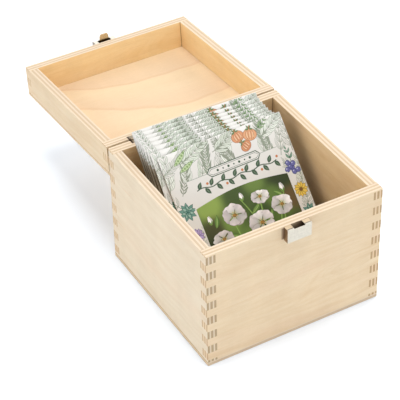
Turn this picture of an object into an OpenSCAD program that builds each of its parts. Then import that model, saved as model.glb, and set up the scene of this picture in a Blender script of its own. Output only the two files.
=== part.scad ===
// Finger-jointed plywood box with a hinged lid, a sprung front clasp and a
// leaning row of seed packets. Millimetres. The origin is the centre of the
// underside of the base; +X is to the right, -Y is the front, +Z is up.
// The lid is drawn closed and then turned about the hinge pins to its rest,
// folded right over behind the box.

/* [Box] */
// Outer width of the box
box_w = 170; // [150:1:200]
// Outer depth of the box
box_d = 168; // [160:1:176]
// Height of the lower box, from the underside to its rim
box_h = 120; // [117:1:124]
// Thickness of the side, front and back boards
wall = 9; // [8:0.5:10]
// Thickness of the bottom board
board = 4; // [3:0.5:5]
// Width of one finger of the corner joints
finger = 8; // [6:0.5:10]
// Strip of front board above the first finger slot
first_strip = 1.5; // [1:0.5:3]

/* [Lid] */
// Height of the lid, from its rim to its outside face
lid_h = 30; // [28:1:34]
// Thickness of the top panel
panel = 3; // [3:0.5:4]
// Gap between the two rims when the lid is shut
rim_gap = 0.3; // [0.2:0.1:0.5]
// Angle through which the lid opens
lid_open = 184.5; // [150:0.5:184.5]

/* [Hinges] */
// Length of each hinge
hinge_len = 30; // [24:1:40]
// Distance from the side of the box to the outer end of a hinge
hinge_inset = 21.5; // [18:0.5:26]
// Distance of the pin behind the back boards
pin_back = 1.25; // [1.25:0.05:1.5]
// Thickness of a hinge leaf
leaf_t = 0.8; // [0.6:0.1:1]
// Depth of a hinge leaf, from the back of the board
leaf_d = 4.4; // [4.2:0.2:6]
// Outer radius of the hinge barrel
barrel_r = 1.1; // [1:0.05:1.1]
// Radius of the hinge pin
hinge_pin_r = 0.5; // [0.4:0.05:0.55]
// Number of knuckles along a hinge
knuckles = 5; // [3:2:7]

/* [Clasp] */
// Width of the clasp case and of the keeper
clasp_w = 23; // [20:1:28]
// Sideways place of the clasp and the keeper from the middle
clasp_x = -0.5; // [-2:0.5:2]
// Height of the clasp case and of the keeper
clasp_h = 13.5; // [12:0.5:16]
// Depth of the clasp case and of the keeper, out from the wood
clasp_d = 6; // [5.5:0.5:7]
// Thickness of the sheet metal
sheet = 0.7; // [0.5:0.1:0.9]
// Width of the slot in the case, where the tongue comes out
slot_w = 13; // [12:0.5:14]
// Width of the notch in the keeper, where the tongue goes in
notch_w = 10.5; // [10:0.5:12]
// Width of the tongue where it leaves the case
tongue_w = 9.5; // [7:0.5:9.5]
// Length of tongue that stands out of the case
tongue_out = 7; // [5:0.5:7.5]

/* [Packets] */
// Width of a seed packet
packet_w = 123; // [100:1:128]
// Length of a seed packet
packet_l = 162; // [120:1:162]
// Thickness of a packet over its seeds
packet_t = 2; // [1.5:0.1:2.4]
// Lean of the packet at the front
lean_front = 41.3; // [41:0.1:44]
// Lean of the packet at the back
lean_back = 39; // [39:0.1:40.5]

/* [Hidden] */
$fn = 48;

hx = box_w / 2;
hy = box_d / 2;
side_h = box_h - board;               // height of the four boards of the box
lid_side_h = lid_h - panel;           // height of the four boards of the lid
rim_z = box_h + rim_gap;              // rim of the shut lid
pin_y = hy + pin_back;                // hinge axis
pin_z = box_h + rim_gap / 2;
hinge_x0 = hx - hinge_inset - hinge_len / 2;  // middle of a hinge
play = 0.05;                          // radial play round a pin
slit = 0.15;                          // end play between knuckles
screw_at = hinge_len / 2 - 6;         // screws each side of the hinge's middle
screw_y = hy - 2.4;

/* The finger slots of a board of height h, as [start, length] measured from
   the rim: the side boards' fingers reach the front face there. */
function finger_rows(h) = [for (k = [0:ceil(h / (2 * finger))])
  let (a = first_strip + 2 * finger * k) if (a < h - 0.2) [a, min(finger, h - a)]];

/* Front or back board, rim at z = 0, body along +z, outer face at y = 0. */
module end_board(h) {
  difference() {
    translate([-hx, 0, 0]) cube([box_w, wall, h]);
    for (r = finger_rows(h)) for (s = [-1, 1])
      translate([s * (hx - wall / 2), wall / 2, r[0] + r[1] / 2])
        cube([wall, wall, r[1]], center = true);
  }
}

/* Side board, rim at z = 0, body along +z, outer face at x = 0 towards -x. */
module side_board(h) {
  translate([0, -hy + wall, 0]) cube([wall, box_d - 2 * wall, h]);
  for (r = finger_rows(h)) translate([0, -hy, r[0]]) cube([wall, box_d, r[1]]);
}

/* ---------- lower box ---------- */

module in_box() { translate([0, 0, box_h]) mirror([0, 0, 1]) children(); }

module front_wall() {
  color("wheat") in_box() translate([0, -hy, 0]) end_board(side_h);
}

module back_wall() {
  color("wheat") difference() {
    in_box() translate([0, hy, 0]) mirror([0, 1, 0]) end_board(side_h);
    for (s = [-1, 1]) translate([s * hinge_x0, 0, box_h]) leaf_seat();
  }
}

module left_wall() {
  color("burlywood") in_box() translate([-hx, 0, 0]) side_board(side_h);
}

module right_wall() {
  color("burlywood") in_box() translate([hx, 0, 0]) mirror([1, 0, 0]) side_board(side_h);
}

module bottom_board() {
  color("bisque") translate([-hx, -hy, 0]) cube([box_w, box_d, board]);
}

/* Shallow seat for a hinge leaf in a rim at z = 0, cut downwards. */
module leaf_seat() {
  translate([-hinge_len / 2 - 0.1, hy - leaf_d - 0.1, -leaf_t])
    cube([hinge_len + 0.2, leaf_d + 1, leaf_t + 1]);
}

/* ---------- lid: drawn shut, then turned open ---------- */

module opened(a = lid_open) {
  translate([0, pin_y, pin_z]) rotate([-a, 0, 0]) translate([0, -pin_y, -pin_z]) children();
}

module lid_front_wall() {
  color("wheat") opened() translate([0, -hy, rim_z]) end_board(lid_side_h);
}

module lid_back_wall() {
  color("wheat") opened() difference() {
    translate([0, hy, rim_z]) mirror([0, 1, 0]) end_board(lid_side_h);
    for (s = [-1, 1]) translate([s * hinge_x0, 0, rim_z]) mirror([0, 0, 1]) leaf_seat();
  }
}

module lid_left_wall() {
  color("burlywood") opened() translate([-hx, 0, rim_z]) side_board(lid_side_h);
}

module lid_right_wall() {
  color("burlywood") opened() translate([hx, 0, rim_z]) mirror([1, 0, 0]) side_board(lid_side_h);
}

module lid_top_panel() {
  color("bisque") opened() translate([-hx, -hy, rim_z + lid_side_h]) cube([box_w, box_d, panel]);
}

/* ---------- hinges ---------- */

/* A leaf with its knuckles, about x = 0, top face at z = 0. up is the height
   of the pin above that face. Even leaves have the outer knuckles, tight on
   the pin; the others turn on it. */
module leaf(up, even) {
  pitch = hinge_len / knuckles;
  difference() {
    union() {
      translate([-hinge_len / 2, hy - leaf_d, -leaf_t]) cube([hinge_len, leaf_d - 0.05, leaf_t]);
      for (k = [0:knuckles - 1]) if ((k % 2 == 0) == even)
        translate([-hinge_len / 2 + k * pitch, 0, 0]) {
          a = (k == 0) ? 0 : slit / 2;
          b = pitch - ((k == knuckles - 1) ? 0 : slit / 2);
          translate([a, hy - 0.5, -leaf_t]) cube([b - a, pin_back + 0.5, leaf_t]);
          translate([a, pin_y, up]) rotate([0, 90, 0]) cylinder(r = barrel_r, h = b - a, $fn = 36);
        }
    }
    translate([-hinge_len / 2 - 1, pin_y, up]) rotate([0, 90, 0])
      cylinder(r = hinge_pin_r + (even ? 0 : play), h = hinge_len + 2, $fn = 36);
    for (s = [-1, 1]) translate([s * screw_at, screw_y, -leaf_t - 0.01]) {
      cylinder(r = 0.9, h = leaf_t + 1);
      translate([0, 0, 0.01]) cylinder(r1 = 0.9, r2 = 1.5, h = leaf_t);
    }
  }
}

module box_leaf(s) {
  color("silver") translate([s * hinge_x0, 0, box_h]) leaf(rim_gap / 2, true);
}

module lid_leaf(s) {
  color("silver") opened() translate([s * hinge_x0, 0, rim_z]) mirror([0, 0, 1]) leaf(rim_gap / 2, false);
}

module hinge_pin(s) {
  color("gray") translate([s * hinge_x0 - hinge_len / 2, pin_y, pin_z]) rotate([0, 90, 0])
    cylinder(r = hinge_pin_r, h = hinge_len, $fn = 36);
}

/* Countersunk wood screw, head flush at z = 0, shank down, cross slot. */
module wood_screw() {
  difference() {
    union() {
      translate([0, 0, -leaf_t]) cylinder(r1 = 0.85, r2 = 1.45, h = leaf_t);
      translate([0, 0, -6]) cylinder(r = 0.8, h = 6 - leaf_t + 0.01);
      translate([0, 0, -7.5]) cylinder(r1 = 0.1, r2 = 0.8, h = 1.5);
    }
    for (a = [45, 135]) rotate([0, 0, a]) translate([0, 0, -0.1]) cube([1.9, 0.4, 0.6], center = true);
  }
}

module box_screw(x) { color("gray") translate([x, screw_y, box_h]) wood_screw(); }
module lid_screw(x) { color("gray") opened() translate([x, screw_y, rim_z]) mirror([0, 0, 1]) wood_screw(); }

/* ---------- clasp ---------- */

/* Folded sheet cover: open at the back (y = 0), front at y = -clasp_d, slotted
   face at z = 0, body along +z. w is the slot's width, and dip lowers the
   front edge in the slot. */
module cover(w, dip) {
  difference() {
    translate([-clasp_w / 2, -clasp_d, 0]) cube([clasp_w, clasp_d, clasp_h]);
    translate([-clasp_w / 2 + sheet, -clasp_d + sheet, sheet])
      cube([clasp_w - 2 * sheet, clasp_d, clasp_h - 2 * sheet]);
    translate([-w / 2, -clasp_d + sheet, -1]) cube([w, clasp_d, 3]);
    translate([-w / 2, -clasp_d - 1, -1]) cube([w, 3, 1 + dip]);
  }
  // prongs that are driven into the wood
  for (sx = [-1, 1]) for (z = [3, clasp_h - 5])
    translate([sx * (clasp_w / 2 - sheet / 2), -0.5, z])
      translate([-sheet / 2, 0, 0]) cube([sheet, 4.5, 2]);
}

tongue_y = -hy - 3.0;                 // middle of the tongue's sheet
clasp_pin_r = 0.8;
clasp_z = rim_z + 0.3;                // slotted face of the case, lid shut
clasp_pin_z = clasp_z + 9;
tongue_t = 0.8;

/* The keeper has an inward bead under its front edge for the tongue. */
module keeper() {
  color("gainsboro") translate([clasp_x, -hy, box_h - 0.3]) mirror([0, 0, 1]) {
    cover(notch_w, 1.2);
    translate([-3.5, -clasp_d + sheet, 3]) rotate([0, 90, 0]) cylinder(r = 0.45, h = 7, $fn = 24);
  }
}

module clasp_case() {
  color("gainsboro") opened() translate([clasp_x, 0, 0]) difference() {
    translate([0, -hy, clasp_z]) cover(slot_w, 0);
    translate([-clasp_w / 2 - 1, tongue_y, clasp_pin_z]) rotate([0, 90, 0])
      cylinder(r = clasp_pin_r, h = clasp_w + 2, $fn = 36);
  }
}

module clasp_pin() {
  color("gray") opened() translate([clasp_x - clasp_w / 2, tongue_y, clasp_pin_z]) rotate([0, 90, 0])
    cylinder(r = clasp_pin_r, h = clasp_w, $fn = 36);
}

module clasp_tongue() {
  z0 = clasp_z - tongue_out;
  color("silver") opened() translate([clasp_x, 0, 0]) difference() {
    union() {
      translate([-tongue_w / 2, tongue_y, clasp_pin_z]) rotate([0, 90, 0])
        cylinder(r = clasp_pin_r + 0.9, h = tongue_w, $fn = 36);
      translate([0, tongue_y + tongue_t / 2, 0]) rotate([90, 0, 0]) linear_extrude(tongue_t)
        polygon([[-tongue_w / 2, clasp_pin_z], [-tongue_w / 2, z0 + 3], [-tongue_w / 2 + 0.9, z0 + 0.6],
                 [-tongue_w / 2 + 1.6, z0], [tongue_w / 2 - 1.6, z0], [tongue_w / 2 - 0.9, z0 + 0.6],
                 [tongue_w / 2, z0 + 3], [tongue_w / 2, clasp_pin_z]]);
      translate([-2.6, tongue_y - tongue_t / 2, z0 + 1]) rotate([0, 90, 0])
        cylinder(r = 0.5, h = 5.2, $fn = 24);
    }
    translate([-tongue_w / 2 - 1, tongue_y, clasp_pin_z]) rotate([0, 90, 0])
      cylinder(r = clasp_pin_r + play, h = tongue_w + 2, $fn = 36);
  }
}

/* ---------- seed packets ---------- */

/* How each packet stands, front to back: sideways place of its foot, turn in
   its own plane (right side up is positive) and how far it stands proud. */
side_place = [5.3, -4.5, -8.8, -10.7, -11.6, -12.1, -12.6, -8.7];
own_turn = [1.3, -0.9, -2.1, -2.4, -2.6, -2.6, -2.6, -1.2];
proud = [0, 0.8, 0.4, 0.8, 1.2, 1.6, 2.4, 4.4];
first_foot = -65.4;                   // foot of the front packet at the floor
last_foot = -34.2;                    // foot of the back packet at the floor
packets = 8;
seam = 7;                             // flat sealed margin round the pouch

function lean(i) = lean_front + (lean_back - lean_front) * i / (packets - 1);
function foot(i) = first_foot + (last_foot - first_foot) * i / (packets - 1);
function lift(i) = 0.6 + proud[i] + packet_w / 2 * sin(abs(own_turn[i])) * cos(lean(i));

/* A pouch on its foot: face towards -y, width along x, length along z. The
   seeds lie low, so it is thickest near the foot and thins to the top. */
module pouch() {
  tb = packet_t / 2;
  translate([-packet_w / 2, -0.35, 0]) cube([packet_w, 0.7, packet_l]);
  translate([-packet_w / 2 + seam, 0, 0]) rotate([90, 0, 90]) linear_extrude(packet_w - 2 * seam)
    polygon([[-0.35, seam * 0.7], [-tb, seam + 14], [-tb, packet_l * 0.32], [-0.7, packet_l * 0.72],
             [-0.35, packet_l - seam], [0.35, packet_l - seam], [0.7, packet_l * 0.72],
             [tb, packet_l * 0.32], [tb, seam + 14], [0.35, seam * 0.7]]);
}

module packet(i) {
  color([0.93, 0.92, 0.87]) translate([side_place[i], foot(i) + lift(i) * tan(lean(i)), board + lift(i)])
    rotate([-lean(i), 0, 0]) rotate([0, -own_turn[i], 0]) pouch();
}

front_wall();
back_wall();
left_wall();
right_wall();
bottom_board();
lid_front_wall();
lid_back_wall();
lid_left_wall();
lid_right_wall();
lid_top_panel();
box_leaf(-1);  // left_hinge_box_leaf
lid_leaf(-1);  // left_hinge_lid_leaf
hinge_pin(-1);  // left_hinge_pin
box_leaf(1);  // right_hinge_box_leaf
lid_leaf(1);  // right_hinge_lid_leaf
hinge_pin(1);  // right_hinge_pin
box_screw(-hinge_x0 - screw_at);  // left_box_screw_outer
box_screw(-hinge_x0 + screw_at);  // left_box_screw_inner
box_screw(hinge_x0 - screw_at);  // right_box_screw_inner
box_screw(hinge_x0 + screw_at);  // right_box_screw_outer
lid_screw(-hinge_x0 - screw_at);  // left_lid_screw_outer
lid_screw(-hinge_x0 + screw_at);  // left_lid_screw_inner
lid_screw(hinge_x0 - screw_at);  // right_lid_screw_inner
lid_screw(hinge_x0 + screw_at);  // right_lid_screw_outer
keeper();
clasp_case();
clasp_pin();
clasp_tongue();
packet(0);  // packet_1
packet(1);  // packet_2
packet(2);  // packet_3
packet(3);  // packet_4
packet(4);  // packet_5
packet(5);  // packet_6
packet(6);  // packet_7
packet(7);  // packet_8
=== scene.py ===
"""Finger-jointed birch plywood box, lid folded open behind it, with a leaning
row of printed paper seed packets. Metres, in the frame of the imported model."""

import math
import random

import bmesh
import bpy
import numpy as np
from mathutils import Matrix, Vector
from mathutils.geometry import delaunay_2d_cdt


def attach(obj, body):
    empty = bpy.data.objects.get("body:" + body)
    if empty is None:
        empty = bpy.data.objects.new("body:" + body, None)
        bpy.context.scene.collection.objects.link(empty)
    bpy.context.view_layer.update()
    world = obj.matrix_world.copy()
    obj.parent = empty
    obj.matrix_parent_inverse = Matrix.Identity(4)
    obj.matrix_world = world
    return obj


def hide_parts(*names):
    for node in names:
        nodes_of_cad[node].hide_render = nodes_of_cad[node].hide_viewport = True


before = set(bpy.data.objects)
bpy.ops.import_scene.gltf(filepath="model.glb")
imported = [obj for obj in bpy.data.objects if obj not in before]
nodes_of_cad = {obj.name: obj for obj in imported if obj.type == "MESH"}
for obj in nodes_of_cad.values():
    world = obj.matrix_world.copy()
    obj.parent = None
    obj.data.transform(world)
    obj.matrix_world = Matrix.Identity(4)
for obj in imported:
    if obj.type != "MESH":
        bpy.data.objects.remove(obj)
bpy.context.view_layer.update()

scene = bpy.context.scene
MM = 0.001

# --------------------------------------------------------------------------
# camera and light
# --------------------------------------------------------------------------

AZ, EL, ROLL = math.radians(-28.88), math.radians(38.49), math.radians(-1.51)
back = Vector((math.sin(AZ) * math.cos(EL), -math.cos(AZ) * math.cos(EL), math.sin(EL)))
side = (-back).cross(Vector((0, 0, 1))).normalized()
rise = side.cross(-back)
cam_x = side * math.cos(ROLL) + rise * math.sin(ROLL)
cam_y = rise * math.cos(ROLL) - side * math.sin(ROLL)
cam_data = bpy.data.cameras.new("view")
cam = bpy.data.objects.new("view", cam_data)
scene.collection.objects.link(cam)
cam_data.sensor_width = 36.0
cam_data.sensor_fit = "HORIZONTAL"
cam_data.lens = 36.0 * 1663.5 / 400.0
cam_data.clip_start, cam_data.clip_end = 0.05, 60.0
at = Vector((-0.57117, -0.95882, 0.97359))
cam.matrix_world = Matrix((
    (cam_x.x, cam_y.x, back.x, at.x),
    (cam_x.y, cam_y.y, back.y, at.y),
    (cam_x.z, cam_y.z, back.z, at.z),
    (0, 0, 0, 1)))
scene.camera = cam

scene.view_settings.view_transform = "Standard"
scene.view_settings.look = "None"
scene.view_settings.exposure = 0.0
scene.view_settings.gamma = 1.0

world = bpy.data.worlds.new("studio")
scene.world = world
world.use_nodes = True
# pale walls all round: brightest at the horizon, dim overhead
wt = world.node_tree
back_ground = wt.nodes["Background"]
back_ground.inputs["Color"].default_value = (0.94, 0.97, 1.03, 1)
w_dir = wt.nodes.new("ShaderNodeTexCoord")
w_sep = wt.nodes.new("ShaderNodeSeparateXYZ")
w_map = wt.nodes.new("ShaderNodeMapRange")
wt.links.new(w_dir.outputs["Generated"], w_sep.inputs[0])
wt.links.new(w_sep.outputs["Z"], w_map.inputs[0])
for k, v in enumerate((0.0, 1.0, 2.00, 0.06), 1):
    w_map.inputs[k].default_value = v
wt.links.new(w_map.outputs[0], back_ground.inputs["Strength"])


def softbox(name, azimuth, elevation, distance, size, power, colour=(1, 1, 1), target=(0.0, 0.05, 0.06)):
    """A square light. Azimuth 0 is in front of the box, 90 to its right."""
    a, e = math.radians(azimuth), math.radians(elevation)
    data = bpy.data.lights.new(name, "AREA")
    data.shape = "SQUARE"
    data.size = size
    data.energy = power
    data.color = colour
    lamp = bpy.data.objects.new(name, data)
    aim = Vector((math.sin(a) * math.cos(e), -math.cos(a) * math.cos(e), math.sin(e)))
    lamp.location = Vector(target) + aim * distance
    lamp.rotation_euler = aim.to_track_quat("Z", "Y").to_euler()
    scene.collection.objects.link(lamp)
    return lamp


softbox("top", 0, 85, 1.6, 0.8, 19.0)
softbox("right_back", 120, 32, 1.6, 0.8, 8.5)
softbox("left_back", -115, 28, 1.6, 0.8, 4.0)

# --------------------------------------------------------------------------
# small helpers for node materials
# --------------------------------------------------------------------------


def lin(c):
    """sRGB 0-255 to linear."""
    out = []
    for v in c[:3]:
        v = v / 255.0
        out.append(v / 12.92 if v <= 0.04045 else ((v + 0.055) / 1.055) ** 2.4)
    return tuple(out)


class Tree:
    def __init__(self, name):
        self.mat = bpy.data.materials.new(name)
        self.mat.use_nodes = True
        self.t = self.mat.node_tree
        self.bsdf = self.t.nodes["Principled BSDF"]
        self._co = None

    def node(self, kind, **props):
        n = self.t.nodes.new(kind)
        for k, v in props.items():
            setattr(n, k, v)
        return n

    def put(self, socket, value):
        if isinstance(value, bpy.types.NodeSocket):
            self.t.links.new(value, socket)
        elif isinstance(value, (tuple, list, Vector)) and socket.type == "RGBA":
            socket.default_value = (value[0], value[1], value[2], 1.0)
        elif isinstance(value, (tuple, list, Vector)):
            socket.default_value = tuple(value)
        else:
            socket.default_value = value

    def coord(self):
        if self._co is None:
            self._co = self.node("ShaderNodeTexCoord")
        return self._co

    def math(self, op, a, b=None, c=None, clamp=False):
        n = self.node("ShaderNodeMath", operation=op, use_clamp=clamp)
        self.put(n.inputs[0], a)
        if b is not None:
            self.put(n.inputs[1], b)
        if c is not None:
            self.put(n.inputs[2], c)
        return n.outputs[0]

    def add(self, a, b): return self.math("ADD", a, b)
    def sub(self, a, b): return self.math("SUBTRACT", a, b)
    def mul(self, a, b): return self.math("MULTIPLY", a, b)

    def dot(self, v, row):
        n = self.node("ShaderNodeVectorMath", operation="DOT_PRODUCT")
        self.put(n.inputs[0], v)
        n.inputs[1].default_value = row[:3]
        out = n.outputs["Value"]
        return self.math("ADD", out, row[3]) if len(row) > 3 and row[3] else out

    def vec(self, x, y, z):
        n = self.node("ShaderNodeCombineXYZ")
        for s, v in zip(n.inputs, (x, y, z)):
            self.put(s, v)
        return n.outputs[0]

    def noise(self, v, scale=1.0, detail=2.0, rough=0.5, distort=0.0, colour=False):
        n = self.node("ShaderNodeTexNoise")
        self.put(n.inputs["Vector"], v)
        n.inputs["Scale"].default_value = scale
        n.inputs["Detail"].default_value = detail
        n.inputs["Roughness"].default_value = rough
        n.inputs["Distortion"].default_value = distort
        return n.outputs[1] if colour else n.outputs[0]

    def voronoi(self, v, scale=1.0, feature="F1", rand=1.0):
        n = self.node("ShaderNodeTexVoronoi", feature=feature)
        self.put(n.inputs["Vector"], v)
        n.inputs["Scale"].default_value = scale
        n.inputs["Randomness"].default_value = rand
        return n.outputs[0]

    def span(self, v, a, b, lo=0.0, hi=1.0, smooth=True):
        n = self.node("ShaderNodeMapRange", interpolation_type="SMOOTHSTEP" if smooth else "LINEAR")
        self.put(n.inputs[0], v)
        for i, k in enumerate((a, b, lo, hi), 1):
            n.inputs[i].default_value = k
        return n.outputs[0]

    def mix(self, f, a, b, how="MIX"):
        n = self.node("ShaderNodeMix", data_type="RGBA", blend_type=how)
        self.put(n.inputs[0], f)
        self.put(n.inputs[6], a)
        self.put(n.inputs[7], b)
        return n.outputs[2]

    def mixf(self, f, a, b):
        n = self.node("ShaderNodeMix", data_type="FLOAT")
        self.put(n.inputs[0], f)
        self.put(n.inputs[2], a)
        self.put(n.inputs[3], b)
        return n.outputs[0]

    def scale_colour(self, colour, f):
        """colour times a number from a socket."""
        n = self.node("ShaderNodeVectorMath", operation="SCALE")
        self.put(n.inputs[0], colour)
        self.put(n.inputs["Scale"], f)
        return n.outputs[0]

    def bump(self, height, distance, strength=1.0):
        n = self.node("ShaderNodeBump")
        n.inputs["Strength"].default_value = strength
        n.inputs["Distance"].default_value = distance
        self.put(n.inputs["Height"], height)
        self.put(self.bsdf.inputs["Normal"], n.outputs[0])


# --------------------------------------------------------------------------
# birch plywood
# --------------------------------------------------------------------------

OPEN = math.radians(184.5)
PIN = Vector((0, 0.08525, 0.12015))
UNFOLD = Matrix.Rotation(OPEN, 3, "X")


def rows(length, height, depth, lid):
    """Three rows (ax, ay, az, c), giving millimetres along a board's grain,
    from its rim, and into it from its outside face. Each argument is
    (x, y, z, c in millimetres) on the shut box; lid pieces are turned back."""
    out = []
    for a in (length, height, depth):
        v, c = Vector(a[:3]), a[3]
        if lid:
            c = c + v.dot(PIN - UNFOLD @ PIN) * 1000.0
            v = UNFOLD.transposed() @ v
        out.append((v.x * 1000.0, v.y * 1000.0, v.z * 1000.0, c))
    return out


def birch(name, place, plies, seed, light=(224, 203, 170), deep=(206, 176, 134), inner=None,
          figure=1.0, seams=(), end_face=(0.60, 0.52, 0.41), end_rim=(0.82, 0.76, 0.70), bands=0.0, marks=(), side_tone=0.6):
    """Birch plywood. place is rows(); plies are the depths of the glue lines in
    millimetres; the outer plies run along the board. inner is the tint of the
    inside veneer, which also brings painted shade low down on the inside faces;
    seams are (axis, millimetres) where another board butts on; marks are painted
    shade on the outside face: (L0, L1, H0, H1, soft, from, to)."""
    T = Tree(name)
    obj = T.coord().outputs["Object"]
    nrm = T.coord().outputs["Normal"]
    L = T.dot(obj, place[0])
    H = T.dot(obj, place[1])
    D = T.dot(obj, place[2])
    unit = [tuple(k / 1000.0 for k in r[:3]) for r in place]
    nl = T.math("ABSOLUTE", T.dot(nrm, unit[0]))
    nd = T.math("ABSOLUTE", T.dot(nrm, unit[2]))
    face = T.span(nd, 0.80, 0.95)
    side_on = T.sub(1.0, face)
    endl = T.math("GREATER_THAN", nl, 0.6)

    # plies, with glue lines that wander a little
    wob = T.noise(T.vec(T.mul(L, 0.045), T.mul(H, 0.045), seed), 1.0, 2.0)
    Dw = T.add(D, T.mul(T.sub(wob, 0.5), 0.35))
    cross = None
    line = None
    for i, b in enumerate(plies):
        step = T.span(Dw, b - 0.14, b + 0.14)
        part = T.mul(step, 1.0 if i % 2 == 0 else -1.0)
        cross = part if cross is None else T.add(cross, part)
        near = T.span(T.math("ABSOLUTE", T.sub(Dw, b)), 0.02, 0.20, 1.0, 0.0)
        line = near if line is None else T.math("MAXIMUM", line, near)
    cross = T.math("MULTIPLY", cross, side_on, clamp=True)
    # cross plies show their ends on the rims, the others at the ends of the board
    show_end = T.mul(side_on, T.mixf(endl, cross, T.sub(1.0, cross)))

    # coordinates along and across the fibres
    lo, so = seed * 17.31, seed * 5.77
    along = T.mixf(cross, L, H)
    over = T.mixf(cross, H, L)
    stray = T.noise(T.vec(T.mul(along, 0.0075), T.mul(over, 0.020), so), 1.0, 2.0)
    ov = T.add(over, T.mul(T.sub(stray, 0.5), 22.0))

    # broad figure: wavy contour lines of a long smooth field
    field = T.noise(T.vec(T.add(T.mul(along, 0.0062), lo), T.mul(ov, 0.034), T.mul(D, 0.05)), 1.0, 1.5, 0.42)
    ring = T.span(T.math("SINE", T.mul(field, 64.0)), 0.15, 1.0)
    ring2 = T.span(T.math("SINE", T.mul(field, 150.0)), 0.3, 1.0)
    patch = T.noise(T.vec(T.add(T.mul(along, 0.008), so), T.mul(ov, 0.016), 3.1 + seed), 1.0, 1.0)
    patch = T.span(patch, 0.40, 0.66)
    streak = T.noise(T.vec(T.add(T.mul(along, 0.011), lo), T.mul(ov, 0.15), T.mul(D, 0.2)), 1.0, 4.0, 0.6)
    streak = T.span(streak, 0.30, 0.72)
    # thin warm streaks here and there
    warm = T.noise(T.vec(T.add(T.mul(along, 0.014), so), T.mul(ov, 0.40), 5.0 + seed), 1.0, 3.0, 0.55)
    warm = T.mul(T.span(warm, 0.60, 0.74), T.span(patch, 0.2, 0.9, 0.25, 1.0))
    # fine fibres, pores and flecks
    fib = T.noise(T.vec(T.mul(along, 0.10), T.mul(ov, 2.2), T.mul(D, 2.2)), 1.0, 3.0, 0.66)
    fleck = T.noise(T.vec(T.mul(along, 0.30), T.mul(ov, 3.2), T.mul(D, 3.2)), 1.0, 2.0, 0.55)
    dark = T.span(fleck, 0.60, 0.74)
    glint = T.span(fleck, 0.40, 0.27)
    # soft cross shimmer, as where the veneer was cut on a wavy log
    wave = T.noise(T.vec(T.mul(along, 0.07), T.mul(ov, 0.018), so), 1.0, 2.5, 0.55)
    mot = T.noise(T.vec(T.mul(along, 0.03), T.mul(ov, 0.07), 9.0 + so), 1.0, 3.0, 0.6)
    grit = T.noise(T.vec(T.mul(along, 0.55), T.mul(ov, 1.1), D), 1.0, 2.0, 0.6)

    tone = T.mixf(0.30, streak, T.mul(ring, patch))
    tone = T.add(T.mul(tone, 0.58 * figure), T.mul(T.mul(ring2, patch), 0.13 * figure))
    tone = T.add(tone, T.mul(T.span(mot, 0.32, 0.72), 0.24 * figure))
    tone = T.math("MULTIPLY", tone, 1.0, clamp=True)
    wood = T.mix(tone, lin(light), lin(deep))
    if inner:
        back_ply = T.math("GREATER_THAN", D, plies[-1] + 0.4)
        wood = T.mix(T.mul(back_ply, face), wood, T.mix(tone, lin(inner[0]), lin(inner[1])))
        # painted shade: the inside faces are painted darker low down, deep in the box
        wood = T.mix(T.mul(T.mul(back_ply, face), T.span(H, 34.0, 96.0, 0.0, 0.55)), wood, T.scale_colour(wood, 0.52))
    wood = T.mix(T.mul(warm, 0.42 * figure), wood, lin((205, 160, 116)))
    pink = T.span(T.noise(T.vec(T.mul(along, 0.006), T.mul(ov, 0.03), 21.0 + so), 1.0, 1.0), 0.5, 0.75)
    wood = T.mix(T.mul(pink, 0.30 * figure), wood, lin((220, 188, 160)))
    if bands:
        # broad arched bands, pinkish at their edges
        arch = T.sub(L, 2448.0)
        arch = T.mul(T.mul(arch, arch), 0.0030)
        bow = T.noise(T.vec(T.mul(L, 0.009), T.mul(H, 0.012), 0.7), 1.0, 2.0, 0.5)
        heart = T.add(T.add(H, arch), T.mul(T.sub(bow, 0.5), 46.0))
        saw = T.math("FRACT", T.mul(heart, 1.0 / 53.0))
        edge = T.mul(T.span(saw, 0.10, 0.93), T.span(saw, 0.935, 0.99, 1.0, 0.0))
        brink = T.mul(T.span(saw, 0.84, 0.93), T.span(saw, 0.935, 0.97, 1.0, 0.0))
        wood = T.mix(T.mul(edge, bands), wood, lin((206, 172, 142)))
        wood = T.mix(T.mul(brink, bands * 0.55), wood, lin((196, 148, 108)))
    shade = T.add(0.97, T.mul(T.sub(fib, 0.5), 0.14))
    shade = T.sub(shade, T.mul(dark, 0.075))
    shade = T.add(shade, T.mul(glint, 0.035))
    shade = T.add(shade, T.mul(T.sub(wave, 0.5), 0.10))
    shade = T.add(shade, T.mul(T.sub(grit, 0.5), 0.10))
    wood = T.scale_colour(wood, shade)

    if side_tone:
        wood = T.mix(T.mul(T.mul(side_on, T.sub(1.0, endl)), side_tone), wood, lin((208, 192, 170)))
    # end grain: darker and redder, speckled in both directions
    speck = T.noise(T.vec(T.mul(L, 3.0), T.mul(H, 3.0), T.mul(D, 3.0)), 1.0, 3.0, 0.7)
    rays = T.noise(T.vec(T.mul(L, 0.7), T.mul(H, 0.7), T.mul(D, 4.0)), 1.0, 2.0, 0.6)
    deepen = T.mix(endl, end_rim, end_face)
    product = T.mix(1.0, wood, deepen, "MULTIPLY")
    product = T.scale_colour(product, T.add(0.72, T.mul(T.add(speck, rays), 0.28)))
    colour = T.mix(show_end, wood, product)
    colour = T.mix(T.mul(T.mul(line, side_on), T.mixf(endl, 0.30, 0.34)), colour, lin((138, 88, 50)))

    for axis, where in seams:
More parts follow.
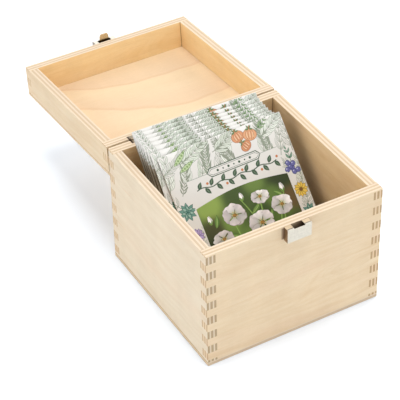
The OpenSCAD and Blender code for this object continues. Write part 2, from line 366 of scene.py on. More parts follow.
        # a thin dark seam of glue and shadow where the next board butts on
        source = {"L": L, "H": H, "D": D}[axis]
        gap = T.span(T.math("ABSOLUTE", T.sub(source, where)), 0.15, 0.75, 1.0, 0.0)
        within = T.math("GREATER_THAN", D, plies[-1] + 0.5)
        colour = T.mix(T.mul(T.mul(gap, T.mul(within, face)), 0.62 if axis == "L" else 0.20), colour, lin((92, 58, 32)))
    # painted shade: each mark darkens the outside face, from weak to strong along the board
    for l0, l1, h0, h1, soft, weak, strong in marks:
        m = T.mul(T.span(L, l0 - soft, l0), T.span(L, l1, l1 + 0.2, 1.0, 0.0))
        m = T.mul(m, T.mul(T.span(H, h0 - 0.5, h0 + 0.3), T.span(H, h1 - 0.3, h1 + 0.5, 1.0, 0.0)))
        m = T.mul(m, T.mul(face, T.math("LESS_THAN", D, 0.5)))
        colour = T.mix(T.mul(m, T.span(L, l0, l1, weak, strong)), colour, lin((84, 50, 26)))

    T.put(T.bsdf.inputs["Base Color"], colour)
    rough = T.add(0.50, T.mul(fib, 0.16))
    rough = T.add(rough, T.mul(show_end, 0.14))
    T.put(T.bsdf.inputs["Roughness"], rough)
    T.bsdf.inputs["IOR"].default_value = 1.42
    T.bsdf.inputs["Specular IOR Level"].default_value = 0.30
    height = T.add(T.mul(fib, 0.5), T.mul(dark, -0.6))
    height = T.sub(height, T.mul(T.mul(show_end, speck), 0.9))
    height = T.sub(height, T.mul(T.mul(line, side_on), 0.8))
    T.bump(height, 0.00012, 0.5)
    return T.mat


def dress(node, material):
    o = nodes_of_cad[node]
    if not o.material_slots:
        o.data.materials.append(material)
    for s in o.material_slots:
        s.material = material


WALL = (1.9, 3.5, 5.5, 7.1)
THIN4 = (1.1, 2.9)
THIN3 = (0.8, 2.2)
CREAM, TAN = (221, 199, 165), (206, 175, 136)
PALE = ((214, 198, 172), (201, 178, 146))
GOLD = ((235, 205, 154), (223, 186, 129))
INSIDE = ((226, 196, 150), (210, 171, 121))
# name: (length, height from the rim, depth from outside, in the lid, outer
# tints, inner tints, seams, end grain at the ends of the board)
X0, Y0, Y1 = 76, -75, 75
BOARDS = {
    "front_wall": ((1, 0, 0, 0), (0, 0, -1, 120), (0, 1, 0, 84), False, (CREAM, TAN), INSIDE,
                   (("L", -X0), ("L", X0), ("H", 116)), (0.72, 0.64, 0.57)),
    "back_wall": ((1, 0, 0, 240), (0, 0, -1, 120), (0, -1, 0, 84), False, (CREAM, TAN), INSIDE,
                  (("L", 240 - X0), ("L", 240 + X0), ("H", 116)), (0.72, 0.64, 0.57)),
    "left_wall": ((0, 1, 0, 510), (0, 0, -1, 120), (1, 0, 0, 85), False, PALE, INSIDE,
                  (("L", 510 + Y0), ("L", 510 + Y1), ("H", 116)), (0.63, 0.54, 0.43)),
    "right_wall": ((0, 1, 0, 770), (0, 0, -1, 120), (-1, 0, 0, 85), False, (CREAM, TAN), INSIDE,
                   (("L", 770 + Y0), ("L", 770 + Y1), ("H", 116)), (0.63, 0.54, 0.43)),
    "lid_front_wall": ((1, 0, 0, 1040), (0, 0, 1, -120.3), (0, 1, 0, 84), True, (CREAM, TAN), GOLD,
                       (("L", 1040 - X0), ("L", 1040 + X0), ("H", 27)), (0.72, 0.64, 0.57)),
    "lid_back_wall": ((1, 0, 0, 1310), (0, 0, 1, -120.3), (0, -1, 0, 84), True, (CREAM, TAN), GOLD,
                      (("L", 1310 - X0), ("L", 1310 + X0), ("H", 27)), (0.72, 0.64, 0.57)),
    "lid_left_wall": ((0, 1, 0, 1570), (0, 0, 1, -120.3), (1, 0, 0, 85), True, ((211, 190, 157), (198, 168, 131)), GOLD,
                      (("L", 1570 + Y0), ("L", 1570 + Y1), ("H", 27)), (0.63, 0.54, 0.43)),
    "lid_right_wall": ((0, 1, 0, 1820), (0, 0, 1, -120.3), (-1, 0, 0, 85), True, (CREAM, TAN), GOLD,
                       (("L", 1820 + Y0), ("L", 1820 + Y1), ("H", 27)), (0.63, 0.54, 0.43)),
}
# painted shadow: a dark strip on the front just left of the keeper, and painted shade on the wood behind its notch
KEEPER_SHADE = ((-13.7, -12.0, 1.6, 12.8, 0.9, 0.55, 0.80), (-10.8, 9.8, 0.2, 12.6, 0.2, 0.30, 0.92))
for k, (node, (a, b, c, lid, outer, inner, seams, ends)) in enumerate(BOARDS.items()):
    # constants are in millimetres, axes in metres
    dress(node, birch("birch_" + node, rows(a, b, c, lid), WALL, 1.3 + 2.17 * k, outer[0], outer[1], inner,
                      seams=seams, end_face=ends, marks=KEEPER_SHADE if node == "front_wall" else ()))
dress("bottom_board", birch("birch_bottom", rows((1, 0, 0, 2100), (0, 1, 0, 84), (0, 0, 1, 0), False),
                            THIN4, 20.9, CREAM, TAN))
dress("lid_top_panel", birch("birch_top", rows((1, 0, 0, 2400), (0, 1, 0, 84), (0, 0, -1, 150.3), True),
                             THIN3, 24.4, (222, 198, 163), (210, 180, 141), figure=0.42, bands=0.34))

# ---- eased edges: only where two outer faces of the box or the lid meet ----


def ease(node, tests, width, lid=False):
    """Weld the imported faces and round the edges whose middle passes a test,
    each (axis, place, axis, place) in millimetres of the shut box."""
    o = nodes_of_cad[node]
    w = o.modifiers.new("weld", "WELD")
    w.merge_threshold = 0.00001
    g = bpy.data.node_groups.new("edges_" + node, "GeometryNodeTree")
    g.interface.new_socket("Geometry", in_out="INPUT", socket_type="NodeSocketGeometry")
    g.interface.new_socket("Geometry", in_out="OUTPUT", socket_type="NodeSocketGeometry")
    gi, go = g.nodes.new("NodeGroupInput"), g.nodes.new("NodeGroupOutput")
    pos = g.nodes.new("GeometryNodeInputPosition").outputs[0]

    def number(op, a, b=None, c=None):
        n = g.nodes.new("ShaderNodeMath")
        n.operation = op
        for sock, v in zip(n.inputs, (a, b, c)):
            if v is None:
                continue
            if isinstance(v, bpy.types.NodeSocket):
                g.links.new(v, sock)
            else:
                sock.default_value = v
        return n.outputs[0]

    co = []
    for row in rows((1, 0, 0, 0), (0, 1, 0, 0), (0, 0, 1, 0), lid):
        n = g.nodes.new("ShaderNodeVectorMath")
        n.operation = "DOT_PRODUCT"
        g.links.new(pos, n.inputs[0])
        n.inputs[1].default_value = row[:3]
        co.append(number("ADD", n.outputs["Value"], row[3]))
    total = None
    for (i, p, j, q) in tests:
        hit = number("MULTIPLY", number("COMPARE", co[i], p, 0.05), number("COMPARE", co[j], q, 0.05))
        total = hit if total is None else number("MAXIMUM", total, hit)
    st = g.nodes.new("GeometryNodeStoreNamedAttribute")
    st.data_type, st.domain = "FLOAT", "EDGE"
    st.inputs["Name"].default_value = "bevel_weight_edge"
    g.links.new(gi.outputs[0], st.inputs["Geometry"])
    g.links.new(total, st.inputs["Value"])
    g.links.new(st.outputs["Geometry"], go.inputs[0])
    m = o.modifiers.new("edges", "NODES")
    m.node_group = g
    b = o.modifiers.new("ease", "BEVEL")
    b.limit_method = "WEIGHT"
    b.width = width
    b.segments = 2
    b.use_clamp_overlap = True


def frame_edges(rim, far):
    out = [(0, sx, 1, sy) for sx in (-85, 85) for sy in (-84, 84)]
    out += [(2, rim, 0, sx) for sx in (-85, 85, -76, 76)] + [(2, rim, 1, sy) for sy in (-84, 84, -75, 75)]
    out += [(2, far, 0, sx) for sx in (-85, 85)] + [(2, far, 1, sy) for sy in (-84, 84)]
    return out


for node in BOARDS:
    ease(node, frame_edges(120.3, 150.3) if node.startswith("lid") else frame_edges(120, 0), 0.00045, node.startswith("lid"))
ease("bottom_board", frame_edges(999, 0), 0.00045)
ease("lid_top_panel", frame_edges(999, 150.3), 0.00045, True)

# --------------------------------------------------------------------------
# metal
# --------------------------------------------------------------------------


def metal(name, base, rough, brush, scratch=0.35, dirt=(92, 74, 52), amount=0.25):
    """Plated sheet metal. brush is the direction of the brushing."""
    T = Tree(name)
    obj = T.coord().outputs["Object"]
    x, y, z = (T.dot(obj, (1000 * (i == 0), 1000 * (i == 1), 1000 * (i == 2))) for i in range(3))
    fine = [0.35 if d else 14.0 for d in brush]
    hair = T.noise(T.vec(T.mul(x, fine[0]), T.mul(y, fine[1]), T.mul(z, fine[2])), 1.0, 3.0, 0.65)
    cloud = T.noise(T.vec(T.mul(x, 0.5), T.mul(y, 0.5), T.mul(z, 0.5)), 1.0, 3.0, 0.6)
    spot = T.span(T.noise(T.vec(T.mul(x, 2.1), T.mul(y, 2.1), T.mul(z, 2.1)), 1.0, 2.0, 0.6), 0.60, 0.78)
    colour = T.mix(T.span(cloud, 0.35, 0.75), lin(base), tuple(v * 0.88 for v in lin(base)))
    colour = T.mix(T.mul(spot, amount), colour, lin(dirt))
    colour = T.scale_colour(colour, T.add(0.95, T.mul(hair, 0.10)))
    T.put(T.bsdf.inputs["Base Color"], colour)
    T.bsdf.inputs["Metallic"].default_value = 1.0
    r = T.add(rough, T.mul(T.sub(hair, 0.5), 0.20))
    r = T.add(r, T.mul(spot, 0.15))
    r = T.add(r, T.mul(T.sub(cloud, 0.5), 0.10))
    T.put(T.bsdf.inputs["Roughness"], r)
    T.bump(hair, 0.00004, scratch)
    return T.mat


nickel = metal("nickel_sheet_painted_shade", (236, 227, 210), 0.46, (1, 0, 0))
nickel.node_tree.nodes["Principled BSDF"].inputs["Metallic"].default_value = 0.6
leaf_metal = metal("nickel_leaf_painted_shade", (168, 152, 128), 0.40, (1, 0, 0), amount=0.5)
spring_metal = metal("spring_steel_painted_shade", (214, 196, 162), 0.26, (0, 0, 1), amount=0.2)
wire_metal = metal("drawn_wire_painted_shade", (122, 104, 82), 0.32, (1, 0, 0), amount=0.4)
screw_metal = metal("screw_head", (178, 166, 146), 0.36, (0, 1, 0), amount=0.4)


def reopen(material, lid=False):
    """The material's tree again, with millimetres of the shut box."""
    K = Tree.__new__(Tree)
    K.mat, K.t, K._co = material, material.node_tree, None
    K.bsdf = K.t.nodes["Principled BSDF"]
    place = [K.dot(K.coord().outputs["Object"], r) for r in rows((1, 0, 0, 0), (0, 1, 0, 0), (0, 0, 1, 0), lid)]
    return K, place, K.bsdf.inputs["Base Color"].links[0].from_socket


# painted shade: the outer ends of the hinge leaves and pins are painted dark brown
K, (kx, ky, kz), was = reopen(leaf_metal)
tip = K.span(K.math("ABSOLUTE", kx), 61.2, 62.6)
K.put(K.bsdf.inputs["Base Color"], K.mix(K.mul(tip, 0.9), was, lin((74, 52, 34))))
K, (kx, ky, kz), was = reopen(wire_metal)
K.put(K.bsdf.inputs["Base Color"], K.mix(K.mul(K.span(K.math("ABSOLUTE", kx), 61.2, 62.6), 0.9), was, lin((60, 42, 28))))
for n in nodes_of_cad:
    if "screw" in n:
        dress(n, screw_metal)
    elif n.endswith("pin"):
        dress(n, wire_metal)
    elif "leaf" in n:
        dress(n, leaf_metal)


def soften(node, width, segments=2):
    o = nodes_of_cad[node]
    w = o.modifiers.new("weld", "WELD")
    w.merge_threshold = 0.00001
    b = o.modifiers.new("fold", "BEVEL")
    b.limit_method = "ANGLE"
    b.angle_limit = math.radians(40)
    b.width = width
    b.segments = segments


for n in ("keeper", "clasp_case", "clasp_tongue"):
    soften(n, 0.00022)

# painted shade and reflection: the keeper's folds are painted darker than its face; the flange is
# tinted beige-brown as reflected wood with a dark grey band behind its front edge, its outer sides
# are painted brown, and the pocket behind its notch is painted near black
keeper_metal = metal("nickel_keeper_painted_shade", (210, 201, 184), 0.38, (1, 0, 0), amount=0.2)
K, (kx, ky, kz), was = reopen(keeper_metal)
nx, ny, nz = (K.math("ABSOLUTE", K.dot(K.coord().outputs["Normal"], (1.0 * (i == 0), 1.0 * (i == 1), 1.0 * (i == 2)))) for i in range(3))
painted_shade_pick = K.noise(K.vec(K.mul(kx, 0.7), K.mul(ky, 0.7), K.mul(kz, 0.7)), 1.0, 3.0, 0.6)
flange = K.mul(K.span(nz, 0.7, 0.9), K.span(kz, 119.2, 119.6))
fold = K.mul(K.span(ky, -89.5, -89.2), K.span(ky, -88.7, -87.9, 1.0, 0.0))
outer_side = K.mul(K.span(nx, 0.6, 0.85), K.math("GREATER_THAN", K.math("ABSOLUTE", K.add(kx, 0.5)), 11.2))
pocket = K.mul(K.span(ky, -89.5, -89.3), K.math("LESS_THAN", kz, 119.1))
pocket = K.mul(pocket, K.math("LESS_THAN", K.math("ABSOLUTE", K.add(kx, 0.5)), 11.0))
tinted = K.mix(K.mul(flange, K.span(ky, -89.4, -88.6, 0.0, 0.9)), was, K.mix(painted_shade_pick, lin((186, 160, 124)), lin((216, 194, 160))))
tinted = K.mix(K.mul(K.mul(flange, fold), 0.85), tinted, lin((112, 104, 94)))
tinted = K.mix(K.mul(outer_side, 0.80), tinted, K.mix(painted_shade_pick, lin((128, 96, 62)), lin((164, 132, 96))))
tinted = K.mix(K.mul(pocket, 0.92), tinted, lin((54, 32, 16)))
K.put(K.bsdf.inputs["Base Color"], tinted)
dress("keeper", keeper_metal)
# painted shade: the clasp is painted dark inside and at its left end
K, (kx, ky, kz), was = reopen(nickel, True)
inside = K.mul(K.span(ky, -89.5, -89.3), K.math("GREATER_THAN", kz, 121.2))
inside = K.mul(inside, K.math("LESS_THAN", K.math("ABSOLUTE", K.add(kx, 0.5)), 11.0))
ends_ = K.span(kx, -11.4, -10.6, 1.0, 0.0)
tinted = K.mix(K.mul(ends_, 0.75), was, lin((96, 78, 66)))
tinted = K.mix(K.mul(inside, 0.95), tinted, lin((34, 20, 12)))
K.put(K.bsdf.inputs["Base Color"], tinted)
dress("clasp_case", nickel)
# painted shade: the tongue is painted dark at its upper end on the shut box, where it meets the slot
K, (kx, ky, kz), was = reopen(spring_metal, True)
K.put(K.bsdf.inputs["Base Color"], K.mix(K.mul(K.span(kz, 118.4, 120.2), 0.9), was, lin((40, 24, 12))))
dress("clasp_tongue", spring_metal)

# --------------------------------------------------------------------------
# printed packets: the drawing is cut into the sheet's own faces
# --------------------------------------------------------------------------

PW, PL = 123.0, 162.0
PAPER = (219, 216, 209)
INK = (138, 146, 127)
DARK = (66, 88, 66)


def bez(p0, p1, p2, n):
    out = []
    for i in range(n + 1):
        t = i / n
        out.append(((1 - t) ** 2 * p0[0] + 2 * t * (1 - t) * p1[0] + t * t * p2[0],
                    (1 - t) ** 2 * p0[1] + 2 * t * (1 - t) * p1[1] + t * t * p2[1]))
    return out


def ribbon(path, w0, w1):
    left, right = [], []
    n = len(path)
    for i, p in enumerate(path):
        a, b = path[max(i - 1, 0)], path[min(i + 1, n - 1)]
        dx, dy = b[0] - a[0], b[1] - a[1]
        s = math.hypot(dx, dy) or 1.0
        w = (w0 + (w1 - w0) * i / (n - 1)) / 2
        left.append((p[0] - dy / s * w, p[1] + dx / s * w))
        right.append((p[0] + dy / s * w, p[1] - dx / s * w))
    return right + left[::-1]


def leaf(base, ang, length, width, bend=0.0, n=6, sharp=0.85):
    """A pointed leaf from base at ang (radians)."""
    mid, half = [], []
    x, y = base
    for i in range(n + 1):
        t = i / n
        half.append(width / 2 * math.sin(math.pi * min(1.0, max(0.0, t)) ** sharp))
        mid.append((x, y, ang + bend * t))
        x += length / n * math.cos(ang + bend * (t + 0.5 / n))
        y += length / n * math.sin(ang + bend * (t + 0.5 / n))
    right = [(m[0] + math.sin(m[2]) * h, m[1] - math.cos(m[2]) * h) for m, h in zip(mid, half)]
    left = [(m[0] - math.sin(m[2]) * h, m[1] + math.cos(m[2]) * h) for m, h in zip(mid, half)]
    return right + left[-2:0:-1]


def disc(c, r, n=14, squash=1.0, turn=0.0):
    out = []
    for i in range(n):
        a = 2 * math.pi * i / n
        x, y = r * math.cos(a), r * squash * math.sin(a)
        out.append((c[0] + x * math.cos(turn) - y * math.sin(turn), c[1] + x * math.sin(turn) + y * math.cos(turn)))
    return out


def box2(x0, y0, x1, y1):
    return [(x0, y0), (x1, y0), (x1, y1), (x0, y1)]


def clip(poly, x0, y0, x1, y1):
    for axis, lim, keep in ((0, x0, 1), (0, x1, -1), (1, y0, 1), (1, y1, -1)):
        out = []
        for i, p in enumerate(poly):
            q = poly[(i + 1) % len(poly)]
            a, b = (p[axis] - lim) * keep, (q[axis] - lim) * keep
            if a >= 0:
                out.append(p)
            if (a > 0 > b) or (a < 0 < b):
                t = a / (a - b)
                out.append((p[0] + (q[0] - p[0]) * t, p[1] + (q[1] - p[1]) * t))
        poly = out
        if len(poly) < 3:
            return []
    return poly


def area(poly):
    return 0.5 * sum(p[0] * q[1] - q[0] * p[1] for p, q in zip(poly, poly[1:] + poly[:1]))


class Art:
    """Painted polygons in millimetres on one side of a packet, lowest first."""

    def __init__(self, edge=0.2):
        self.polys = []
        self.dots = []
        self.lim = (-PW / 2 + edge, edge, PW / 2 - edge, PL - edge)

    def add(self, poly, paint, lim=None):
        x0, y0, x1, y1 = lim or self.lim
        poly = clip(poly, max(x0, self.lim[0]), max(y0, self.lim[1]), min(x1, self.lim[2]), min(y1, self.lim[3]))
        clean = []
        for p in poly:
            if not clean or math.hypot(p[0] - clean[-1][0], p[1] - clean[-1][1]) > 0.03:
                clean.append(p)
        if len(clean) > 2 and math.hypot(clean[0][0] - clean[-1][0], clean[0][1] - clean[-1][1]) < 0.03:
            clean.pop()
        if len(clean) < 3:
            return
        a = area(clean)
        if abs(a) < 0.02:
            return
        self.polys.append((clean if a > 0 else clean[::-1], paint))

    # --- drawn pieces -----------------------------------------------------
    def outlined(self, base, ang, length, width, ink, fill, lw=0.5, bend=0.0, vein=True, lim=None, n=6):
        self.add(leaf(base, ang, length, width, bend, n), ink, lim)
        inner = (base[0] + math.cos(ang) * lw * 1.3, base[1] + math.sin(ang) * lw * 1.3)
        if width > 2.2 * lw:
            self.add(leaf(inner, ang + bend * 0.04, length - 2.7 * lw, width - 1.9 * lw, bend * 0.92, n), fill, lim)
            if vein:
                tip = leaf(base, ang, length * 0.82, lw * 0.9, bend * 0.82, 4)
                self.add(tip, ink, lim)

    def sprig(self, base, ang, length, bend, pairs, size, ink, fill, rnd, lw=0.5, open_=0.9, lim=None, fat=0.36):
        """A stem with pairs of outlined leaves and one at its tip."""
        n = 8
        pts = [base]
        for i in range(n):
            a = ang + bend * (i + 0.5) / n
            pts.append((pts[-1][0] + length / n * math.cos(a), pts[-1][1] + length / n * math.sin(a)))
        self.add(ribbon(pts, lw * 1.3, lw * 0.6), ink, lim)
        for k in range(pairs):
            t = (k + 0.7) / (pairs + 0.3)
            i = min(int(t * n), n - 1)
            f = t * n - i
            p = (pts[i][0] + (pts[i + 1][0] - pts[i][0]) * f, pts[i][1] + (pts[i + 1][1] - pts[i][1]) * f)
            a = ang + bend * t
            s = size * (1.0 - 0.45 * t) * rnd.uniform(0.88, 1.12)
            for sgn in (1, -1):
                self.outlined(p, a + sgn * open_ * rnd.uniform(0.85, 1.1), s, s * fat, ink, fill, lw * 0.85,
                              -sgn * 0.5, vein=s > 5, lim=lim)
        self.outlined(pts[-1], ang + bend, size * 0.62, size * 0.24, ink, fill, lw * 0.85, 0.0, vein=False, lim=lim)

    def frond(self, base, ang, length, bend, count, size, ink, rnd, lw=0.5, lim=None):
        """A feathery frond of thin leaflets."""
        n = 10
        pts = [base]
        for i in range(n):
            a = ang + bend * (i + 0.5) / n
            pts.append((pts[-1][0] + length / n * math.cos(a), pts[-1][1] + length / n * math.sin(a)))
        self.add(ribbon(pts, lw * 1.2, lw * 0.5), ink, lim)
        for k in range(count):
            t = (k + 0.6) / count
            i = min(int(t * n), n - 1)
            f = t * n - i
            p = (pts[i][0] + (pts[i + 1][0] - pts[i][0]) * f, pts[i][1] + (pts[i + 1][1] - pts[i][1]) * f)
            a = ang + bend * t
            s = size * math.sin(math.pi * (0.18 + 0.80 * t)) ** 0.7 * rnd.uniform(0.85, 1.1)
            for sgn in (1, -1):
                self.add(leaf(p, a + sgn * rnd.uniform(0.75, 0.95), s, 0.16 * s + lw * 0.55, -sgn * 0.55, 4), ink, lim)

    def berries(self, c, r, count, fill, shine, ink, rnd, lim=None):
        for k in range(count):
            a = k * 2.4 + rnd.uniform(-0.2, 0.2)
            d = r * 0.95 * math.sqrt(k) if k else 0.0
            p = (c[0] + d * math.cos(a), c[1] + d * math.sin(a))
            self.add(disc(p, r, 12), ink, lim)
            self.add(disc(p, r - 0.42, 12), fill, lim)
            self.add(disc((p[0] - r * 0.25, p[1] + r * 0.3), r * 0.28, 6), shine, lim)

    def gourd(self, c, r, turn, skin, pale, ink, stalk, lim=None):
        """A ribbed round fruit seen from the side."""
        self.add(disc(c, r, 20, 0.80, turn), ink, lim)
        self.add(disc(c, r - 0.5, 20, 0.79, turn), skin, lim)
        ux, uy = -math.sin(turn), math.cos(turn)
        vx, vy = math.cos(turn), math.sin(turn)
        for k in (-0.58, -0.22, 0.22, 0.58):
            b = (c[0] - ux * r * 0.62 + vx * k * r * 0.55, c[1] - uy * r * 0.62 + vy * k * r * 0.55)
            m = (c[0] + vx * k * r * 1.35, c[1] + vy * k * r * 1.35)
            e = (c[0] + ux * r * 0.62 + vx * k * r * 0.55, c[1] + uy * r * 0.62 + vy * k * r * 0.55)
            self.add(ribbon(bez(b, m, e, 5), 0.40, 0.40), ink, lim)
        for k in (-0.38, 0.02, 0.42):
            m0 = (c[0] - ux * r * 0.35 + vx * k * r, c[1] - uy * r * 0.35 + vy * k * r)
            m1 = (c[0] + ux * r * 0.35 + vx * k * r, c[1] + uy * r * 0.35 + vy * k * r)
            mm = (c[0] + vx * k * r * 1.2, c[1] + vy * k * r * 1.2)
            self.add(ribbon(bez(m0, mm, m1, 4), 0.9, 0.5), pale, lim)
        top = (c[0] + ux * r * 0.72, c[1] + uy * r * 0.72)
        for d in (-0.9, -0.3, 0.3, 0.9):
            self.add(leaf(top, turn + math.pi / 2 + d * 1.7, r * 0.62, r * 0.26, 0.3 * d, 4), stalk, lim)
        self.add(ribbon([top, (top[0] + ux * r * 0.5 + vx * 0.5, top[1] + uy * r * 0.5 + vy * 0.5)], 1.1, 0.7), ink, lim)

    def rosette(self, c, r, count, ink, fill, tint, rnd, lim=None):
        for ring, (rr, off) in enumerate(((1.0, 0.0), (0.72, 0.5), (0.45, 0.25))):
            m = max(5, int(count * (1.0 - 0.22 * ring)))
            for k in range(m):
                a = 2 * math.pi * (k + off) / m + rnd.uniform(-0.08, 0.08)
                self.outlined(c, a, r * rr, r * 0.40 * rr + 0.5, ink, fill if ring % 2 == 0 else tint, 0.42,
                              rnd.uniform(-0.2, 0.2), vein=False, lim=lim, n=5)

    def bloom(self, c, r, count, ink, fill, eye, rnd, lim=None, fat=1.0, turn=0.0):
        w = 2 * math.pi * r / count * 0.92 * fat
        for k in range(count):
            a = turn + 2 * math.pi * k / count + rnd.uniform(-0.05, 0.05)
            self.outlined((c[0] + 0.15 * r * math.cos(a), c[1] + 0.15 * r * math.sin(a)), a, r * 0.85, w, ink, fill,
                          0.42, 0.0, vein=False, lim=lim, n=5)
        self.add(disc(c, r * 0.27, 12), ink, lim)
        self.add(disc(c, r * 0.27 - 0.4, 12), eye, lim)

    def picture_bloom(self, c, r, count, hue, eye, rnd, lim, tilt=1.0, turn=0.0):
        """A flower of broad ruffled petals without outlines, as in a photograph."""
        tone0 = rnd.uniform(0.90, 1.02)
        order = list(range(count))
        rnd.shuffle(order)
        for k in order:
            a = turn + 2 * math.pi * k / count + rnd.uniform(-0.14, 0.14)
            half = math.pi / count * rnd.uniform(1.15, 1.45)
            reach = r * rnd.uniform(0.80, 1.06)
            f1, f2 = rnd.uniform(0, 6.28), rnd.uniform(0, 6.28)
            polar = [(reach * t, a - half * (0.42 + 0.50 * t)) for t in (0.06, 0.32, 0.60)]
            for i in range(15):
                q = -1 + 2 * i / 14
                rad = reach * (0.93 - 0.17 * q ** 4 - 0.05 * math.exp(-(q / 0.2) ** 2)
                               + 0.035 * math.sin(5.3 * q + f1) + 0.02 * math.sin(11.0 * q + f2))
                polar.append((rad, a + half * q))
            polar += [(reach * t, a + half * (0.42 + 0.50 * t)) for t in (0.60, 0.32, 0.06)]
            pts = [(c[0] + d * math.cos(g), c[1] + tilt * d * math.sin(g)) for d, g in polar]
            tone = tone0 * rnd.uniform(0.86, 1.02)
            blush = rnd.uniform(0.0, 0.38)

            def paint(u, v, c=c, tone=tone, a=a, half=half, blush=blush, f1=f1):
                du, dv = u - c[0], (v - c[1]) / tilt
                d = min(1.1, math.hypot(du, dv) / r)
                th = (math.atan2(dv, du) - a + math.pi) % (2 * math.pi) - math.pi
                q = max(-1.2, min(1.2, th / half))
                k = tone * (0.72 + 0.28 * min(1.0, d) ** 0.55) * (1.0 - 0.15 * q * q) * (1.0 + 0.045 * math.sin(q * 10.0 + f1) * d)
                k *= 1.0 + 0.06 * (0.5 * math.cos(a) + 0.8 * math.sin(a))
                green = max(0.0, 1.0 - d * 2.8)
                pink = blush * max(0.0, d - 0.25)
                return (hue[0] * k * (1 - 0.20 * green), hue[1] * k * (1 - 0.06 * green) * (1 - 0.15 * pink),
                        hue[2] * k * (1 - 0.45 * green) * (1 - 0.09 * pink))
            self.add([(c[0] + (p[0] - c[0]) * 1.015 + 0.2, c[1] + (p[1] - c[1]) * 1.015 - 0.3) for p in pts],
                     tuple(h * w for h, w in zip(hue, (0.60, 0.56, 0.52))), lim)
            self.add(pts, paint, lim)
        self.add(disc((c[0] + 0.2, c[1] - 0.3), r * 0.15, 10, tilt), tuple(v * 0.55 for v in eye), lim)
        self.add(disc(c, r * 0.12, 10, tilt), tuple(v * 0.92 for v in eye), lim)
        for k in range(12):
            a = k * 2.4 + turn
            d = r * (0.08 + 0.17 * math.sqrt(k / 12))
            self.add(disc((c[0] + d * math.cos(a), c[1] + d * tilt * math.sin(a)), r * 0.032, 5),
                     tuple(min(255, v * (1.25 if k % 3 else 0.7)) for v in eye), lim)


def mixed(a, b, t):
    return tuple(x + (y - x) * t for x, y in zip(a, b))


def picture_ground(rnd):
    """Out-of-focus greens behind the flowers."""
    blobs = [((-34, 112), 17, (150, 174, 84), 0.85), ((-8, 104), 14, (66, 84, 40), 0.8),
             ((12, 113), 12, (120, 146, 72), 0.7), ((38, 112), 16, (48, 58, 30), 0.9), ((24, 97), 11, (102, 130, 58), 0.7),
             ((-40, 88), 13, (66, 60, 34), 0.7), ((-22, 86), 11, (128, 158, 74), 0.75), ((8, 88), 12, (52, 72, 30), 0.8),
             ((42, 88), 12, (112, 76, 50), 0.7), ((28, 74), 12, (90, 116, 48), 0.7), ((-6, 72), 13, (108, 138, 62), 0.7),
             ((-36, 66), 15, (40, 50, 26), 0.9), ((12, 58), 14, (58, 76, 34), 0.8), ((40, 60), 13, (70, 50, 34), 0.75),
             ((-14, 48), 15, (98, 122, 54), 0.7), ((30, 42), 15, (80, 100, 46), 0.7), ((-34, 36), 14, (54, 64, 32), 0.8)]
    blobs = [((c[0] + rnd.uniform(-4, 4), c[1] + rnd.uniform(-4, 4)), s_, col, w) for c, s_, col, w in blobs]

    def paint(u, v):
        col = (74, 94, 44)
        for c, s_, b_, w in blobs:
            d = math.hypot(u - c[0], v - c[1]) / s_
            col = mixed(col, b_, w * (1.0 - smooth(0.45, 1.25, d)))
        return col
    return paint


